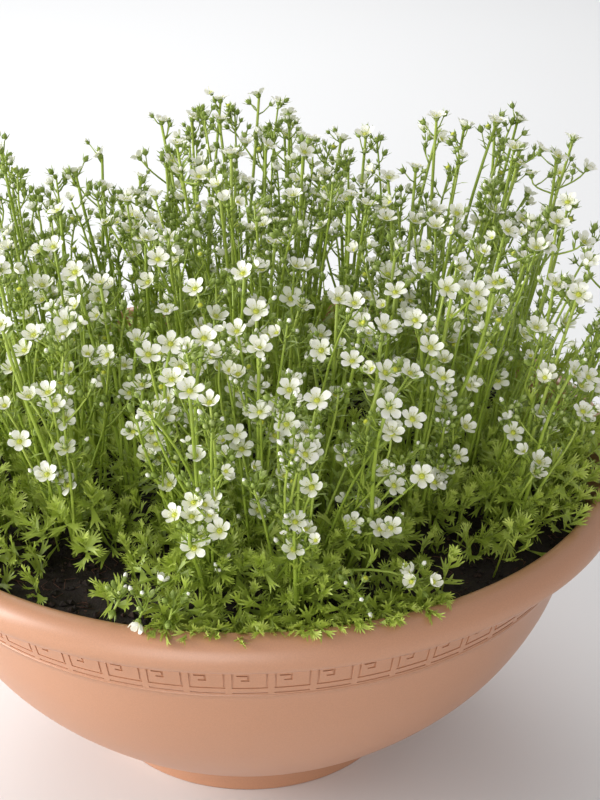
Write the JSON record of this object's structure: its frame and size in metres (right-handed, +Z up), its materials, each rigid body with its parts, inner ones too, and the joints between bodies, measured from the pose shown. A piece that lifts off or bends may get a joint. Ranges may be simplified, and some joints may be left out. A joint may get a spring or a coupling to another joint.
{
  "type": "potted mossy saxifrage",
  "caption": "Wide footed planting bowl with a soil bed and cushions of mossy saxifrage in white flower.",
  "frame": {"origin": "on the ground, at the middle of the bowl's foot ring", "axes": "+Z up, the front of the bowl as pictured faces -Y, +X to the right seen from the front"},
  "size_m": [0.45, 0.4509, 0.3713],
  "materials": {
    "pot_plastic": "satin",
    "potting_soil": "matte",
    "plant": "satin",
    "petal": "matte"
  },
  "bodies": {
    "root": {"pot": "pot_plastic", "soil": "potting_soil", "plant_1_tuft_1": "plant", "plant_1_tuft_2": "plant", "plant_1_tuft_3": "plant", "plant_1_tuft_4": "plant", "plant_1_tuft_5": "plant", "plant_1_tuft_6": "plant", "plant_1_tuft_7": "plant", "plant_2_tuft_1": "plant", "plant_2_tuft_2": "plant", "plant_2_tuft_3": "plant", "plant_2_tuft_4": "plant", "plant_2_tuft_5": "plant", "plant_2_tuft_6": "plant", "plant_2_tuft_7": "plant", "plant_3_tuft_1": "plant", "plant_3_tuft_2": "plant", "plant_3_tuft_3": "plant", "plant_3_tuft_4": "plant", "plant_3_tuft_5": "plant", "plant_3_tuft_6": "plant", "plant_3_tuft_7": "plant", "plant_4_tuft_1": "plant", "plant_4_tuft_2": "plant", "plant_4_tuft_3": "plant", "plant_4_tuft_4": "plant", "plant_4_tuft_5": "plant", "plant_4_tuft_6": "plant", "plant_4_tuft_7": "plant", "plant_5_tuft_1": "plant", "plant_5_tuft_2": "plant", "plant_5_tuft_3": "plant", "plant_5_tuft_4": "plant", "plant_5_tuft_5": "plant", "plant_5_tuft_6": "plant", "plant_5_tuft_7": "plant", "plant_6_tuft_1": "plant", "plant_6_tuft_2": "plant", "plant_6_tuft_3": "plant", "plant_6_tuft_4": "plant", "plant_6_tuft_5": "plant", "plant_6_tuft_6": "plant", "plant_6_tuft_7": "plant", "plant_7_tuft_1": "plant", "plant_7_tuft_2": "plant", "plant_7_tuft_3": "plant", "plant_7_tuft_4": "plant", "plant_7_tuft_5": "plant", "plant_7_tuft_6": "plant", "plant_7_tuft_7": "plant"}
  },
  "joints": []
}
